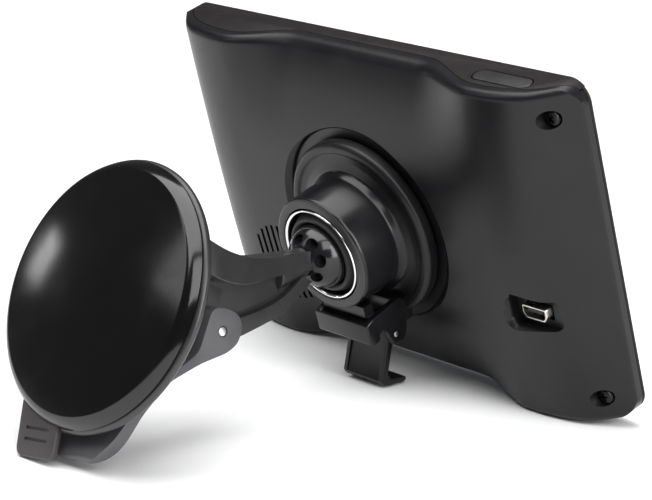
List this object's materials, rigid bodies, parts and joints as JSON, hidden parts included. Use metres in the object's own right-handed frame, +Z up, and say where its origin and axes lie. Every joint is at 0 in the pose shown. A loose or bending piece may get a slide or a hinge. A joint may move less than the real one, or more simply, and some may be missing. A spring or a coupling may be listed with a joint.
{
  "type": "portable gps navigator",
  "caption": "Flat in-vehicle navigator with a touch screen front, held by a clip cradle and ball joint on a short arm with a lever-locked suction cup.",
  "frame": {"origin": "middle of the bounding box's base, on the table the navigator and its suction cup stand on", "axes": "+X to the left as the screen is read from the front, +Y from the screen towards the suction cup, +Z up; the screen faces -Y and leans back by about 19 degrees"},
  "size_m": [0.14, 0.1336, 0.0893],
  "materials": {
    "rear_case_plastic": "black ABS with a fine satin grain",
    "front_frame_plastic": "dark grey-brown soft-touch plastic",
    "touch_glass": "dark tinted touch panel with a painted border",
    "lcd_layer": "dark unlit liquid crystal panel",
    "tray_steel": "plain stamped steel",
    "circuit_board": "green solder mask",
    "shield_steel": "tinned steel can",
    "antenna_ceramic": "fired ceramic patch",
    "battery_wrap": "foil pouch",
    "speaker_metal": "small round driver",
    "usb_metal": "nickel plated shell",
    "switch_body": "small tactile switch",
    "screw_steel": "blackened steel",
    "button_plastic": "black satin key cap",
    "cradle_plastic": "glossy black moulding with a flat grey front ring",
    "release_lever_plastic": "black satin moulding",
    "pin_steel": "ground steel pin",
    "liner_rubber": "dull black grip liner",
    "seat_plastic": "natural acetal cup",
    "spring_cup_steel": "pressed spring steel",
    "chrome_ring": "thin polished ring",
    "arm_plastic": "glossy black moulding",
    "cup_rubber": "very glossy black rubber face",
    "stud_plastic": "dark nylon stud",
    "spring_steel": "bright spring wire",
    "lock_lever_plastic": "glossy black moulding"
  },
  "bodies": {
    "suction_mount": {"base_and_arm": "arm_plastic", "suction_cup": "cup_rubber", "lock_lever_pin": "pin_steel", "stud_spring": "spring_steel"},
    "lock_lever": {"lock_lever": "lock_lever_plastic"},
    "pull_stud": {"pull_stud": "stud_plastic"},
    "ball_tilt_seat": {"ball_seat": "seat_plastic"},
    "ball_swing_seat": {"seat_spring_cup": "spring_cup_steel"},
    "cradle": {"cradle_disc_and_collar": "cradle_plastic", "socket_liner": "liner_rubber", "socket_ring": "chrome_ring", "release_lever_pin": "pin_steel"},
    "release_lever": {"release_lever": "release_lever_plastic"},
    "navigator": {"rear_cover": "rear_case_plastic", "front_housing": "front_frame_plastic", "touch_glass": "touch_glass", "lcd_panel": "lcd_layer", "lcd_backing_tray": "tray_steel", "main_circuit_board": "circuit_board", "processor_shield": "shield_steel", "gps_antenna_patch": "antenna_ceramic", "battery_pack": "battery_wrap", "speaker_driver": "speaker_metal", "usb_socket": "usb_metal", "power_switch": "switch_body", "case_screw_top": "screw_steel", "case_screw_bottom": "screw_steel"},
    "power_button": {"power_button": "button_plastic"}
  },
  "joints": [
    {"name": "lock_lever_hinge", "type": "hinge", "parent": "suction_mount", "child": "lock_lever", "pos_m": [-0.00383, 0.02185, 0.02517], "axis": [-0.9883, -0.0511, 0.1435], "range_deg": [0, 60]},
    {"name": "stud_pull", "type": "slide", "parent": "suction_mount", "child": "pull_stud", "axis": [0.0142, 0.9069, 0.421], "range_m": [0, 0.0025]},
    {"name": "ball_tilt", "type": "hinge", "parent": "suction_mount", "child": "ball_tilt_seat", "pos_m": [0, -0.02144, 0.03613], "axis": [-1, 0, 0], "range_deg": [-18, 18]},
    {"name": "ball_swing", "type": "hinge", "parent": "ball_tilt_seat", "child": "ball_swing_seat", "pos_m": [0, -0.02144, 0.03613], "axis": [0, 0.3289, 0.9444], "range_deg": [-18, 18]},
    {"name": "ball_twist", "type": "hinge", "parent": "ball_swing_seat", "child": "cradle", "pos_m": [0, -0.02144, 0.03613], "axis": [0, 0.9444, -0.3289], "range_deg": [-45, 45]},
    {"name": "release_lever_hinge", "type": "hinge", "parent": "cradle", "child": "release_lever", "pos_m": [-0.002, -0.03729, 0.01496], "axis": [-1, 0, 0], "range_deg": [0, 9], "stiffness_Nm_per_rad": 0.3},
    {"name": "unit_clip_off", "type": "slide", "parent": "cradle", "child": "navigator", "axis": [0, -0.9444, 0.3289], "range_m": [0, 0.02]},
    {"name": "power_button_press", "type": "slide", "parent": "navigator", "child": "power_button", "axis": [0, -0.3289, -0.9444], "range_m": [0, 0.0004], "stiffness_N_per_m": 2000}
  ],
  "couplings": [
    {"joint": "stud_pull", "follows": "lock_lever_hinge", "m_per_rad": 0.002387}
  ]
}
